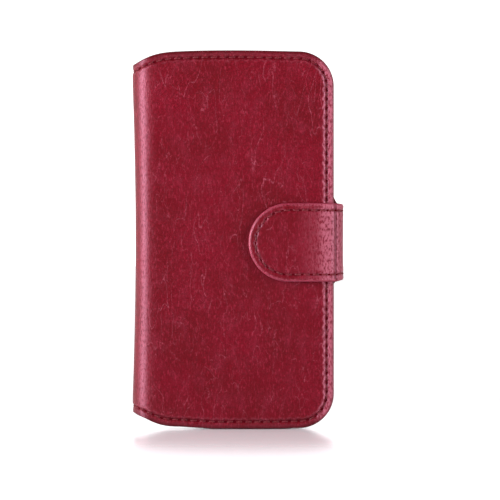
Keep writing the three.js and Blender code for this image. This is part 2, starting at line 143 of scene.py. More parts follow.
class Nodes:
    """A few shorthands for building the node tree of a material or a world."""

    def __init__(self, name, library=bpy.data.materials):
        self.owner = library.new(name)
        self.owner.use_nodes = True
        self.tree = self.owner.node_tree
        self.shader = self.tree.nodes.get("Principled BSDF")

    def feed(self, value, socket):
        """Links an output to the socket, or sets the socket to a constant."""
        if isinstance(value, bpy.types.NodeSocket):
            self.tree.links.new(value, socket)
        else:
            socket.default_value = value

    def node(self, kind, **inputs):
        node = self.tree.nodes.new(kind)
        for key, value in inputs.items():
            self.feed(value, node.inputs[key.replace("_", " ")])
        return node

    def place(self, space="Object"):
        return self.node("ShaderNodeTexCoord").outputs[space]

    def flat_place(self):
        """The sheet's own flat coordinates: one unit is 100 mm along the leather."""
        node = self.node("ShaderNodeUVMap")
        node.uv_map = "flat"
        return node.outputs[0]

    def attribute(self, name):
        node = self.node("ShaderNodeAttribute")
        node.attribute_name = name
        return node.outputs["Fac"]

    def math(self, operation, *values, clamp=False):
        node = self.node("ShaderNodeMath")
        node.operation = operation
        node.use_clamp = clamp
        for socket, value in zip(node.inputs, values):
            self.feed(value, socket)
        return node.outputs[0]

    def times(self, a, b, clamp=False):
        return self.math("MULTIPLY", a, b, clamp=clamp)

    def scaled(self, value, gain, offset):
        return self.math("MULTIPLY_ADD", value, gain, offset)

    def moved(self, vector, scale=(1, 1, 1), turn=0.0, shift=(0, 0, 0)):
        return self.node("ShaderNodeMapping", Vector=vector, Scale=scale, Rotation=(0, 0, turn),
                         Location=shift).outputs[0]

    def noise(self, vector, scale, detail=3.0, distortion=0.0, roughness=0.5):
        return self.node("ShaderNodeTexNoise", Vector=vector, Scale=scale, Detail=detail,
                         Distortion=distortion, Roughness=roughness).outputs[0]

    def voronoi(self, vector, scale, feature="F1"):
        node = self.node("ShaderNodeTexVoronoi", Vector=vector, Scale=scale)
        node.feature = feature
        return node.outputs[0]

    def ramp(self, value, low, high):
        node = self.node("ShaderNodeMapRange", Value=value, From_Min=low, From_Max=high)
        node.interpolation_type = "SMOOTHSTEP"
        return node.outputs[0]

    def mix(self, factor, a, b):
        node = self.node("ShaderNodeMix")
        node.data_type = "RGBA"
        for index, value in ((0, factor), (6, a), (7, b)):
            self.feed(value, node.inputs[index])
        return node.outputs[2]

    def bump(self, height, strength, distance, under=None):
        node = self.node("ShaderNodeBump", Height=height, Strength=strength, Distance=distance)
        if under is not None:
            self.feed(under, node.inputs["Normal"])
        return node.outputs[0]

    def finish(self, colour, roughness, normal, **constants):
        """Feeds the shader and gives the finished material."""
        inputs = {"Base_Color": colour, "Roughness": roughness, "Normal": normal, **constants}
        for key, value in inputs.items():
            self.feed(value, self.shader.inputs[key.replace("_", " ")])
        return self.owner

    def finish_tone(self, tone, colours, low, high, rough, relief, **constants):
        """Finishes a material whose colour, roughness and relief follow one texture."""
        base = self.mix(self.ramp(tone, low, high), *colours)
        return self.finish(base, self.scaled(tone, *rough), self.bump(tone, *relief), **constants)


# ---- materials

def crease_lines(n, flat, scale, width, turn, shift):
    """Thin, drawn-out lines where a smooth noise crosses its middle value."""
    place = n.moved(flat, (1.0, 0.34, 1.0), turn, (shift, shift * 0.7, 0.0))
    value = n.noise(place, scale, detail=2.5, distortion=0.35, roughness=0.42)
    away = n.math("ABSOLUTE", n.math("SUBTRACT", value, 0.5))
    line = n.math("SUBTRACT", 1.0, n.ramp(away, 0.0, width))
    return n.times(line, n.ramp(n.noise(place, scale * 0.8, detail=1.0), 0.48, 0.62))


def stroke_marks(n, flat, turn, shift, low, high):
    """Fine pale strokes, drawn out along the leather and slanting by the turn."""
    return n.ramp(n.noise(n.moved(flat, (1.0, 0.32, 1.0), turn, shift), 150.0), low, high)


def leather_material():
    """Waxed pull-up leather: mottled wine red, fine pebble grain, pale pulled creases."""
    n = Nodes("wine_leather")
    flat = n.flat_place()
    cloud = n.noise(flat, 4.5)
    patch = n.noise(n.moved(flat, (1.0, 0.6, 1.0)), 22.0, detail=4.0)
    fine = n.noise(flat, 115.0, detail=2.5, roughness=0.62)
    creases = n.math("MAXIMUM", crease_lines(n, flat, 9.0, 0.0045, 0.35, 3.0),
                     crease_lines(n, flat, 13.0, 0.006, -0.25, 8.0))
    scuffs = n.math("MAXIMUM", crease_lines(n, flat, 26.0, 0.012, 0.55, 15.0),
                    crease_lines(n, flat, 30.0, 0.012, -0.6, 21.0))
    strokes = n.math("MAXIMUM", stroke_marks(n, flat, 0.3, (0, 0, 0), 0.54, 0.72),
                     stroke_marks(n, flat, -0.35, (5, 2, 0), 0.56, 0.74))
    pull = n.math("ADD", n.times(creases, 0.55), n.times(scuffs, 0.40), clamp=True)
    pull = n.times(pull, n.math("ADD", n.ramp(fine, 0.60, 0.42), 0.25), clamp=True)
    # The stored mark read below pales the leather towards pink: partly rubbed wear, partly painted highlight
    # on the right rim, the stitched step, the spine's rounding and the strap's bend; the speckle breaks it
    # up.
    speckle = n.ramp(n.noise(n.moved(flat, (1.0, 0.45, 1.0)), 150.0), 0.63, 0.43)
    worn_and_highlit = n.times(n.attribute("wear"), n.scaled(speckle, 1.1, 0.14), clamp=True)

    base = n.mix(n.ramp(cloud, 0.36, 0.66), pigment(124, 22, 34), pigment(138, 27, 41))
    base = n.mix(n.times(n.ramp(patch, 0.48, 0.75), 0.45), base, pigment(152, 42, 60))
    base = n.mix(n.times(n.ramp(fine, 0.44, 0.66), 0.6), base, pigment(104, 13, 24))
    base = n.mix(n.times(strokes, 0.75), base, pigment(170, 50, 68))
    base = n.mix(pull, base, pigment(188, 92, 108))
    # Mixes in the pale pink of rubbed wear and of painted highlight.
    base = n.mix(worn_and_highlit, base, pigment(206, 112, 130))
    # Painted shade: stitched valleys, creases, the top and bottom rims.
    base = n.mix(n.times(n.attribute("shade"), 0.45), base, pigment(84, 10, 22))

    cells = n.voronoi(flat, 135.0, "DISTANCE_TO_EDGE")
    grain = n.times(n.ramp(cells, 0.0, 0.25), n.ramp(patch, 0.1, 0.9))
    normal = n.bump(grain, 0.45, 0.00008)
    normal = n.bump(fine, 0.55, 0.00007, normal)
    normal = n.bump(n.times(creases, -1.0), 0.35, 0.00005, normal)
    normal = n.bump(patch, 0.16, 0.0005, normal)

    graze = n.ramp(n.node("ShaderNodeLayerWeight", Blend=0.5).outputs["Facing"], 0.72, 0.97)
    rough = n.math("ADD", n.scaled(patch, 0.16, 0.30), n.times(pull, 0.08))
    rough = n.math("ADD", rough, n.times(graze, 0.45))
    return n.finish(base, rough, normal, Specular_IOR_Level=0.30, Specular_Tint=(1.0, 0.55, 0.72, 1.0))


def edge_paint_material():
    """The sealed cut edge of the strap: smoother and pinker than its face."""
    n = Nodes("painted_edge")
    return n.finish_tone(n.noise(n.flat_place(), 60.0), (pigment(178, 52, 76), pigment(206, 80, 106)),
                         0.3, 0.7, (0.2, 0.35), (0.2, 0.0001), Specular_IOR_Level=0.4)


def thread_material():
    """Bonded thread, its twist seen as fine slanting ridges."""
    n = Nodes("wine_thread")
    tone = n.noise(n.place(), 900.0, detail=2.0)
    twist = n.node("ShaderNodeTexWave", Vector=n.place(), Scale=800.0)
    twist.bands_direction = "DIAGONAL"
    base = n.mix(n.ramp(tone, 0.3, 0.7), pigment(122, 20, 34), pigment(148, 34, 52))
    return n.finish(base, n.scaled(tone, 0.2, 0.5), n.bump(twist.outputs[1], 0.4, 0.0001),
                    Specular_IOR_Level=0.3)


def hole_shade_material():
    """Needle holes: nearly black red, matt, the darkness inside them painted shade."""
    n = Nodes("needle_hole")
    tone = n.noise(n.place(), 700.0)
    return n.finish(n.mix(tone, srgb(52, 2, 9), srgb(80, 4, 15)), n.scaled(tone, 0.1, 0.8),
                    n.bump(tone, 0.1, 0.0001), Specular_IOR_Level=0.05)


def lining_material():
    """Microfibre lining: fine nap, brushed light and dark."""
    n = Nodes("microfibre_lining")
    nap = n.noise(n.place(), 2600.0, detail=2.0)
    brushed = n.noise(n.moved(n.place(), (1.0, 1.0, 0.4)), 60.0, distortion=0.6)
    base = n.mix(n.ramp(brushed, 0.35, 0.7), pigment(112, 24, 38), pigment(134, 36, 52))
    base = n.mix(n.times(n.ramp(nap, 0.4, 0.8), 0.4), base, pigment(156, 60, 76))
    return n.finish(base, n.scaled(brushed, 0.1, 0.82), n.bump(nap, 0.35, 0.00015), Sheen_Weight=0.35,
                    Sheen_Roughness=0.5, Sheen_Tint=srgb(235, 150, 165), Specular_IOR_Level=0.2)


def plastic_material():
    """Moulded black shell: satin, with a very fine spark texture."""
    n = Nodes("black_shell")
    spark = n.noise(n.place(), 2400.0, detail=2.0)
    base = n.mix(n.ramp(n.noise(n.place(), 40.0), 0.3, 0.7), srgb(26, 24, 25), srgb(34, 32, 33))
    return n.finish(base, n.scaled(spark, 0.15, 0.33), n.bump(spark, 0.25, 0.00006))


def foam_material():
    """Pale open-cell padding."""
    n = Nodes("padding_foam")
    return n.finish_tone(n.voronoi(n.place(), 1800.0), (srgb(176, 168, 150), srgb(222, 216, 200)),
                         0.0, 0.7, (0.05, 0.9), (0.6, 0.0003))


def board_material():
    """Grey-brown pulp board with loose fibres."""
    n = Nodes("pulp_board")
    fibre = n.noise(n.moved(n.place(), (1.0, 1.0, 6.0)), 260.0, detail=5.0, distortion=1.2)
    return n.finish_tone(fibre, (srgb(138, 120, 96), srgb(166, 148, 122)), 0.35, 0.7,
                         (0.1, 0.85), (0.3, 0.0001))


def metal_material(name, dark, light):
    """Plated disc with fine rolling marks."""
    n = Nodes(name)
    brushed = n.noise(n.moved(n.place(), (1.0, 1.0, 14.0)), 180.0)
    return n.finish_tone(brushed, (dark, light), 0.3, 0.7, (0.2, 0.25), (0.15, 0.00005), Metallic=1.0)


LEATHER = leather_material()
EDGE_PAINT = edge_paint_material()
THREAD = thread_material()
HOLE_SHADE = hole_shade_material()
LINING = lining_material()
PLASTIC = plastic_material()
FOAM = foam_material()
BOARD = board_material()
STEEL = metal_material("zinc_plate", srgb(140, 141, 144), srgb(176, 177, 180))
MAGNET = metal_material("nickel_plate", srgb(168, 167, 162), srgb(200, 199, 194))


# ---- mesh helpers

def make_object(name, verts_mm, faces, materials):
    mesh = bpy.data.meshes.new(name)
    mesh.from_pydata((np.asarray(verts_mm) * MM).tolist(), [], [tuple(map(int, f)) for f in faces])
    for material in materials:
        mesh.materials.append(material)
    mesh.polygons.foreach_set("use_smooth", [True] * len(mesh.polygons))
    mesh.update()
    piece = bpy.data.objects.new(name, mesh)
    bpy.context.scene.collection.objects.link(piece)
    return piece


def set_flat_uv(piece, flat):
    """Stores each vertex's place on the flat sheet, in units of 100 mm."""
    layer = piece.data.uv_layers.new(name="flat")
    index = np.empty(len(piece.data.loops), np.int32)
    piece.data.loops.foreach_get("vertex_index", index)
    layer.data.foreach_set("uv", (np.asarray(flat)[index] / 100).astype(np.float32).ravel())


def set_attribute(piece, name, values):
    layer = piece.data.attributes.new(name, "FLOAT", "POINT")
    layer.data.foreach_set("value", np.asarray(values, np.float32))


def recalculate(piece):
    """Turns all faces of closed shapes outwards."""
    mesh = bmesh.new()
    mesh.from_mesh(piece.data)
    bmesh.ops.recalc_face_normals(mesh, faces=mesh.faces)
    mesh.to_mesh(piece.data)
    mesh.free()


def grid_faces(columns, rows):
    """Quads of a grid whose vertices run row by row within each column."""
    start = (np.arange(columns - 1)[:, None] * rows + np.arange(rows - 1)).ravel()
    return np.stack([start, start + rows, start + rows + 1, start + 1], 1)


def ring_faces(previous, current):
    """Quads between two open rows of as many vertices."""
    return np.stack([previous[:-1], current[:-1], current[1:], previous[1:]], 1)


def smoothstep(low, high, value):
    t = np.clip((np.asarray(value, float) - low) / (high - low), 0, 1)
    return t * t * (3 - 2 * t)


def spread(*stretches):
    """Joins stretches (from, to, step) into one rising list of places."""
    places = [stretches[0][0]]
    for low, high, step in stretches:
        count = max(1, round((high - low) / step))
        places += [low + (high - low) * (i + 1) / count for i in range(count)]
    return np.array(places)


def curve_through(table, x):
    """A smooth curve through measured points."""
    xs, ys = (np.array(row, float) for row in table)
    slope = np.gradient(ys, xs)
    x = np.clip(x, xs[0], xs[-1])
    k = np.clip(np.searchsorted(xs, x, side="right") - 1, 0, len(xs) - 2)
    width = xs[k + 1] - xs[k]
    t = (x - xs[k]) / width
    return (ys[k] * (1 + 2 * t) * (1 - t) ** 2 + slope[k] * width * t * (1 - t) ** 2
            + ys[k + 1] * t * t * (3 - 2 * t) + slope[k + 1] * width * t * t * (t - 1))


def edge_distance(points, edge, reach=12.0):
    """Each point's distance to an open polyline, in mm, cut off at the reach."""
    a, b = edge[:-1], edge[1:]
    ab = b - a
    length2 = np.maximum((ab ** 2).sum(1), 1e-12)
    out = np.full(len(points), reach)
    low, high = edge.min(0), edge.max(0)
    inside = np.minimum(points - low, high - points).min(1)
    near = np.nonzero(inside < reach + 8)[0]
    for k in range(0, len(near), 2000):
        rows = near[k:k + 2000]
        p = points[rows, None, :]
        t = np.clip(((p - a) * ab).sum(2) / length2, 0, 1)
        out[rows] = np.minimum(np.sqrt((((a + t[..., None] * ab) - p) ** 2).sum(2).min(1)), reach)
    return out


def nearest(points, spots, reach=3.0):
    """Each point's distance to the nearest of some spots, cut off at the reach."""
    out = np.full(len(points), reach)
    for k in range(0, len(points), 4000):
        gap = points[k:k + 4000, None, :] - spots
        out[k:k + 4000] = np.minimum(np.sqrt((gap ** 2).sum(2)).min(1), reach)
    return out


def resample(path, pitch, start):
    """Points and directions along a polyline, one every pitch from start."""
    step = np.linalg.norm(np.diff(path, axis=0), axis=1)
    along = np.concatenate([[0], np.cumsum(step)])
    count = int((along[-1] - start) / pitch) + 1
    places = start + pitch * np.arange(count)

    def at(distance):
        return np.stack([np.interp(distance, along, path[:, k]) for k in range(2)], 1)

    direction = at(places + 0.4) - at(places - 0.4)
    return at(places), direction / np.maximum(np.linalg.norm(direction, axis=1)[:, None], 1e-9)


def value_noise(points, cell, seed):
    """Smooth seeded noise from -1 to 1 over flat places, one lattice cell every cell mm."""
    lattice = np.random.default_rng(seed).uniform(-1, 1, (64, 64))
    p = points / cell + 20
    base = np.floor(p).astype(int)
    t = p - base
    t = t * t * (3 - 2 * t)
    i, j = base[:, 0] % 63, base[:, 1] % 63
    low = lattice[i, j] * (1 - t[:, 0]) + lattice[i + 1, j] * t[:, 0]
    high = lattice[i, j + 1] * (1 - t[:, 0]) + lattice[i + 1, j + 1] * t[:, 0]
    return low * (1 - t[:, 1]) + high * t[:, 1]


def rolled_edge(distance, radius):
    """How far a rounded edge falls away, as a share of its radius, at a distance inside it."""
    inside = np.clip(distance / radius, 0, 1)
    return 1 - np.sqrt(np.maximum(1 - (1 - inside) ** 2, 0))


def hump(value, centre, width):
    """A smooth hump, 1 at the centre."""
    return np.exp(-((value - centre) / width) ** 2)


def grid_outline(columns, rows):
    """The vertices round a grid, from its first corner back to that corner."""
    return np.concatenate([np.arange(columns) * rows,
                           (columns - 1) * rows + np.arange(1, rows),
                           np.arange(columns - 2, -1, -1) * rows + rows - 1,
                           np.arange(rows - 2, -1, -1)])


class Shell:
    """A sheet gathered part by part: its vertices, its faces and the values stored on it."""

    def __init__(self, points, faces, **values):
        self.points, self.faces, self.total = [points], [faces], len(points)
        self.values = {name: [value] for name, value in values.items()}

    def add(self, points, faces, **values):
        self.points.append(points)
        self.faces.append(faces)
        for name, value in values.items():
            kept = self.values[name]
            kept.append(np.broadcast_to(value, (len(points),) + kept[0].shape[1:]))
        self.total += len(points)

    def add_row(self, previous, points, flip=False, **values):
        """Adds a row of vertices beside an earlier one, and gives its numbers."""
        current = self.total + np.arange(len(points))
        pair = (current, previous) if flip else (previous, current)
        self.add(points, ring_faces(*pair), **values)
        return current

    def make(self, name, materials, turned):
        faces = np.concatenate(self.faces)
        piece = make_object(name, np.concatenate(self.points), faces[:, ::-1] if turned else faces, materials)
        for key, parts in self.values.items():
            if key == "flat":
                set_flat_uv(piece, np.concatenate(parts))
            else:
                set_attribute(piece, key, np.concatenate(parts))
        return piece


def make_slab(name, material, upper, under, faces, loop, window=(), turned=False):
    """A closed sheet between two surfaces over one grid, walled in round its outline and window."""
    count = len(upper)
    walls = [(b, a, a + count, b + count) for a, b in window]
    joined = np.concatenate([faces, faces[:, ::-1] + count, ring_faces(loop, loop + count)]
                            + ([np.array(walls)] if walls else []))
    if turned:
        joined = joined[:, ::-1]
    piece = make_object(name, np.concatenate([upper, under]), joined, [material])
    recalculate(piece)
    return piece


# ---- patches of sheet

class Patch:
    """A grid over a flat pattern between two curved ends, with the outline that shows.

    places are the columns; low and high give each column's ends. The first column can be
    a seam, which belongs to the closed outline but not to the loop that shows."""

    def __init__(self, places, low, high, shares, seam=True):
        self.seam = seam
        uu, pp = np.meshgrid(places, shares, indexing="ij")
        vv = low[:, None] + (high - low)[:, None] * pp
        self.flat = np.stack([uu.ravel(), vv.ravel()], 1)
        self.faces = grid_faces(len(places), len(shares))
        self.closed = grid_outline(len(places), len(shares))
        self.loop = self.closed[:1 - len(shares)] if seam else self.closed
        self.edge = self.flat[self.loop]
        self.distance = edge_distance(self.flat, self.edge)

    def outward(self):
        """The outline's outward direction at each of its vertices."""
        tangent = np.gradient(self.edge, axis=0)
        if not self.seam:
            tangent[0] = tangent[-1] = self.edge[1] - self.edge[-2]
        tangent /= np.maximum(np.linalg.norm(tangent, axis=1)[:, None], 1e-9)
        return np.stack([tangent[:, 1], -tangent[:, 0]], 1)

    def line(self, inset):
        """The outline moved inwards, for a row of stitches."""
        return self.edge - self.outward() * inset


def edge_shares(length, fine, coarse, rim=5.6):
    share = spread((0, rim, fine), (rim, rim + 3.5, (fine + coarse) / 2),
                   (rim + 3.5, length / 2, coarse)) / length
    return np.concatenate([share, 1 - share[-2::-1]])


# ---- the wrap of the covers

def front_view_x(u):
    """How far right a place on the wrapped sheet lies, u being its distance from the spine."""
    u = np.asarray(u, float)
    angle = np.clip((u - SPINE_FLAT) / SPINE_RADIUS, 0, math.pi / 2)
    return TANGENT_X - SPINE_RADIUS * np.cos(angle) + np.maximum(u - U_TANGENT, 0)


def end_drop(x, table, inset):
    """How far an end edge, moved in by the inset, lies below the covers' outermost line."""
    slope = (curve_through(table, x + 0.2) - curve_through(table, x - 0.2)) / 0.4
    radius = CORNER_RADIUS - inset
    corner = np.clip(x - (COVER_RIGHT - CORNER_RADIUS), 0, radius)
    rounding = radius - np.sqrt(np.maximum(radius ** 2 - corner ** 2, 0))
    return np.maximum(curve_through(table, x), 0) + inset * np.sqrt(1 + slope ** 2) + rounding


def cover_wrap(u, v, height, side):
    """Bends flat places (u, v) at a height over the outer face round the spine."""
    u, v, height = np.broadcast_arrays(np.asarray(u, float), v, height)
    angle = np.clip((u - SPINE_FLAT) / SPINE_RADIUS, 0, math.pi / 2)
    y = np.minimum(u, SPINE_FLAT) + SPINE_RADIUS * np.sin(angle)
    middle = np.clip((v - 5) / (HEIGHT - 11), 0, 1)
    pinch = SPINE_PINCH * np.sin(math.pi * middle) ** 0.9 * np.cos(angle) ** 1.3
    return np.stack([
        front_view_x(u) + pinch - np.cos(angle) * height,
        MIDDLE_Y + side * (y + np.sin(angle) * height),
        v,
    ], -1)


def cover_patch(inset=0.0, fine=0.18, coarse=0.55, start=0.0, rim=5.6):
    """One cover's half of the sheet, from the spine's middle or from a place on the cover."""
    end = U_END - inset
    tail = end - (0.01 * np.arange(11) ** 2)[::-1]
    first = [(start, start + rim, fine), (start + rim, end - 14, coarse)]
    if not start:
        first = [(0, 0.05, 0.05), (0.05, 1.0, 0.32), (1.0, U_TANGENT + 2, 0.4),
                 (U_TANGENT + 2, end - 14, coarse)]
    inner = spread(*first, (end - 14, end - rim, (fine + coarse) / 2), (end - rim, tail[0] - fine, fine))
    places = np.concatenate([inner, tail])
    x = front_view_x(places)
    low = end_drop(x, BOTTOM_DROP, inset)
    high = HEIGHT - end_drop(x, TOP_DROP, inset)
    return Patch(places, low, high, edge_shares(HEIGHT - 2 * inset, fine, coarse, rim), seam=not start)


def blend_spine(piece):
    """Bakes the sheet's placement into its mesh."""
    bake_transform(piece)


def window_distance(flat):
    """Distance outside the camera window's outline, negative inside, and the way outwards."""
    x = front_view_x(flat[:, 0])
    along = np.clip(x, WINDOW_LEFT + WINDOW_RADIUS, WINDOW_RIGHT - WINDOW_RADIUS)
    away = np.stack([x - along, flat[:, 1] - WINDOW_MIDDLE], 1)
    length = np.linalg.norm(away, axis=1)
    return length - WINDOW_RADIUS, away / np.maximum(length, 1e-9)[:, None]


def cut_window(patch, wanted, grow=0.0):
    """Removes the camera window's faces, where it is wanted, and draws the border onto its outline.

    Gives the patch's new flat places, the kept faces and the border's edges."""
    flat, faces = patch.flat, patch.faces
    if not wanted:
        return flat, faces, []
    distance, away = window_distance(flat)
    distance = distance - grow
    inside = distance < 0
    kept = faces[~inside[faces].all(1)]
    moved = flat.copy()
    used = np.zeros(len(flat), bool)
    used[kept.ravel()] = True
    border = inside & used
    moved[border] -= away[border] * distance[border, None]
    edges = {}
    for face in kept[inside[kept].any(1)]:
        for a, b in zip(face, np.roll(face, -1)):
            if border[a] and border[b]:
                edges[(a, b)] = edges.get((a, b), 0) + 1
    rim = [(a, b) for a, b in edges if (b, a) not in edges]
    return moved, kept, rim


# ---- leather of the covers

COVERS = {-1: "front", 1: "rear"}   # by side: -1 is towards the camera
VALLEY_INSET = 2.75            # middle of the stitched valley
# The rim's rows: how far out from the edge, and the share of the way down to the board.
TURN_IN = ((0.0, 0.25), (0.0, 0.7), (-0.12, 0.86), (-0.45, 0.96), (-1.0, 1.0), (-3.2, 1.0))


def mirrored(flat, side):
    """The pattern as seen from outside, for textures that run on over the spine."""
    return flat * np.array([-side, 1.0])


def on_panel(u):
    """0 on the spine, 1 on the flat of a cover."""
    return smoothstep(U_TANGENT - 5, U_TANGENT + 3, u)


def cover_height(distance, holes, u):
    """The leather's height over its face: rolled rim, stitched valley, padded panel."""
    panel = on_panel(u)
    roll = 0.45 + 0.75 * panel
    edge = -roll * rolled_edge(distance, roll)
    rim = (-0.22 - 0.16 * panel) * (1 - smoothstep(2.7, 4.1, distance))
    valley = -0.34 * hump(distance, VALLEY_INSET, 0.42)
    pucker = -0.42 * hump(holes, 0, 0.72)
    pillow = 0.10 * (1 - np.exp(-np.maximum(distance - 3.2, 0) / 5))
    return edge + rim + valley + pucker + pillow


def cover_wear(flat, distance, hole_gap):
    """How much the leather is paled, partly rubbed wear and partly painted highlight, and how much painted
    shade it gets, at each flat place.
    """
    x = front_view_x(flat[:, 0])
    right = smoothstep(8, 3.5, U_END - flat[:, 0])
    # Painted highlight mixed with wear: along the rim, strongest on the right side, on the padded step
    # scalloped by the stitches, and over the spine's rounding.
    rim = hump(distance, 1.35, 0.75) * (0.12 + 0.9 * right)
    along = np.maximum(hole_gap ** 2 - (distance - STITCH_INSET) ** 2, 0)
    scallop = hump(distance, 3.6 + 0.55 * np.exp(-along / 0.7), 0.34) * (distance < 5.3)
    rounding = 0.36 * hump(x, TANGENT_X - 4.3, 1.3) + 0.16 * hump(x, TANGENT_X - 2.2, 2.4)
    wear = rim + (0.15 + 0.95 * right) * scallop + rounding * smoothstep(1, 6, distance)
    # Painted shade in the stitched valley and along the top and bottom rims.
    shade = hump(distance, VALLEY_INSET, 0.38)
    return wear, shade + 0.9 * (1 - right) * (1 - smoothstep(0.8, 2.2, distance))


def make_cover_skin(side):
    """A cover's leather with its half of the spine, its rim turned in over the board.

    Gives the places and directions of its stitches."""
    rear = side > 0
    wall = REAR_WALL if rear else FRONT_WALL
    patch = cover_patch()
    distance = patch.distance
    flat, faces, window = cut_window(patch, rear)
    points, directions = resample(patch.line(STITCH_INSET), STITCH_PITCH, STITCH_PITCH / 2)
    hole_gap = np.full(len(flat), 3.0)
    near = distance < 5.5
    hole_gap[near] = nearest(flat[near], points + directions * STITCH_PITCH / 2)
    seen = mirrored(flat, side)
    height = cover_height(distance, hole_gap, flat[:, 0])
    waves = 0.05 * value_noise(seen, 17, 3) + 0.02 * value_noise(seen, 6, 4)
    height += waves * smoothstep(2.5, 9, distance)
    if rear:
        gap = np.maximum(window_distance(flat)[0], 0)
        height -= 0.8 * rolled_edge(gap, 0.8) + 0.22 * hump(gap, 2.3, 0.4)
    wear, shade = cover_wear(flat, distance, hole_gap)
    shell = Shell(cover_wrap(*flat.T, height, side), faces, flat=seen, wear=wear, shade=shade)

    out, row = patch.outward(), patch.loop
    on_spine = 1 - smoothstep(U_TANGENT - 1, U_TANGENT + 2.5, patch.edge[:, 0])
    rolled = 0.85 + 0.6 * (1 - on_spine)
    for outset, share in TURN_IN:
        depth = rolled + (wall + (SPINE_WALL - wall) * on_spine - rolled) * share
        place = patch.edge + out * outset
        # The turned-in rim gets a fixed share of the pale wear-and-highlight mark and of painted shade.
        row = shell.add_row(row, cover_wrap(*place.T, -depth, side), wear=0.3, shade=0.15,
                            flat=mirrored(patch.edge + out * depth[:, None], side))
    if window:
        border = np.unique(window)
        previous = {v: v for v in border}
        for depth in (0.9, 1.6, wall + 0.1):
            current = {v: shell.total + k for k, v in enumerate(border)}
            quads = [(previous[b], previous[a], current[a], current[b]) for a, b in window]
            # The window's walls get a fixed share of the pale wear-and-highlight mark and of painted shade.
            shell.add(cover_wrap(*flat[border].T, -depth, side), np.array(quads),
                      flat=seen[border] + depth, wear=0.2, shade=0.2)
            previous = current
    skin = shell.make(f"{COVERS[side]}_cover_leather", [LEATHER], turned=rear)
    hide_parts(*(["rear_leather"] if rear else ["front_leather", "spine_leather"]))
    blend_spine(skin)
    return points, directions


# ---- stitches

THREAD_SIDES = 8
HOLE_SIDES = 10
STITCH_SLANT = math.radians(5)
COVER_STITCH_DEPTH = 0.78
# Along the stitch, girth, height of the centre over the valley.
STITCH_SHAPE = [(-0.5, 0.45, -0.42), (-0.45, 0.8, -0.14), (-0.32, 1.0, 0.10), (0.0, 1.04, 0.19),
                (0.32, 1.0, 0.10), (0.45, 0.8, -0.14), (0.5, 0.45, -0.42)]
# The needle hole's rings: radius, height over the valley.
HOLE_SHAPE = [(0.0, 0.04), (0.34, 0.03), (0.62, -0.10)]


def stitch_row(points, directions, depth):
    """Thread stretches and the needle holes between them, as flat places and heights."""
    cos, sin = math.cos(STITCH_SLANT), math.sin(STITCH_SLANT)
    tilt = np.array([[cos, -sin], [sin, cos]])
    threads, thread_faces, holes, hole_faces = [], [], [], []
    for point, direction in zip(points, directions):
        run = tilt @ direction
        across = np.array([-run[1], run[0]])
        length = STITCH_LENGTH * rng.uniform(0.94, 1.05)
        base = len(threads)
        for along, girth, lift in STITCH_SHAPE:
            for k in range(THREAD_SIDES):
                angle = 2 * math.pi * k / THREAD_SIDES
                place = point + run * along * length + across * math.cos(angle) * THREAD_RADIUS * girth
                threads.append((*place, math.sin(angle) * THREAD_RADIUS * girth * 0.8 + lift - depth))
        for ring in range(len(STITCH_SHAPE) - 1):
            for k in range(THREAD_SIDES):
                a = base + ring * THREAD_SIDES + k
                b = base + ring * THREAD_SIDES + (k + 1) % THREAD_SIDES
                thread_faces.append((a, b, b + THREAD_SIDES, a + THREAD_SIDES))
        last = base + (len(STITCH_SHAPE) - 1) * THREAD_SIDES
        thread_faces.append(tuple(base + k for k in range(THREAD_SIDES))[::-1])
        thread_faces.append(tuple(last + k for k in range(THREAD_SIDES)))
        centre = point + direction * STITCH_PITCH / 2
        across = np.array([-direction[1], direction[0]])
        start = len(holes)
        holes.append((*centre, HOLE_SHAPE[0][1] - depth))
        for radius, lift in HOLE_SHAPE[1:]:
            for k in range(HOLE_SIDES):
                angle = 2 * math.pi * k / HOLE_SIDES
                spot = centre + direction * math.cos(angle) * radius * 1.05
                holes.append((*(spot + across * math.sin(angle) * radius * 0.62), lift - depth))
        for k in range(HOLE_SIDES):
            inner, after = start + 1 + k, start + 1 + (k + 1) % HOLE_SIDES
            hole_faces.append((start, inner, after))
            hole_faces.append((inner, inner + HOLE_SIDES, after + HOLE_SIDES, after))
    return (np.array(threads), thread_faces), (np.array(holes), hole_faces)


def make_stitches(prefix, rows, place, cad_nodes, follow):
    """Makes one piece of thread and one of needle holes from several rows."""
    for index, (part, material) in enumerate((("stitches", THREAD), ("needle_holes", HOLE_SHADE))):
        verts, faces, total = [], [], 0
        for row in rows:
            flat, row_faces = row[index]
            verts.append(place(*flat.T))
            faces += [tuple(i + total for i in face) for face in row_faces]
            total += len(flat)
        piece = make_object(f"{prefix}_{part}", np.concatenate(verts), faces, [material])
        recalculate(piece)
        if part == "stitches" and cad_nodes:
            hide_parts(*cad_nodes)
        follow(piece)


def make_cover_stitches(side, points, directions, cad_nodes):
    row = stitch_row(points, directions, COVER_STITCH_DEPTH)

    def place(u, v, height):
        return cover_wrap(u, v, height + 0.15 * (1 - on_panel(u)), side)

    make_stitches(f"{COVERS[side]}_cover", [row], place, cad_nodes, lambda piece: blend_spine(piece))


# ---- linings, padding and panels

LINING_INSET = 1.0             # how far inside the leather's edge the lining ends
LINING_THICKNESS = 0.42
LINING_STITCH_DEPTH = 0.14
WINDOW_FRAME = 2.9             # how much wider the foam is cut than the camera window
PANEL_STITCH_INSET = 1.6
PANEL_PITCH = 3.0
THUMB_RADIUS = 11.0            # the card slots' thumb notch is part of a circle
THUMB_SINK = 7.0               # how far that circle's centre lies outside the mouth


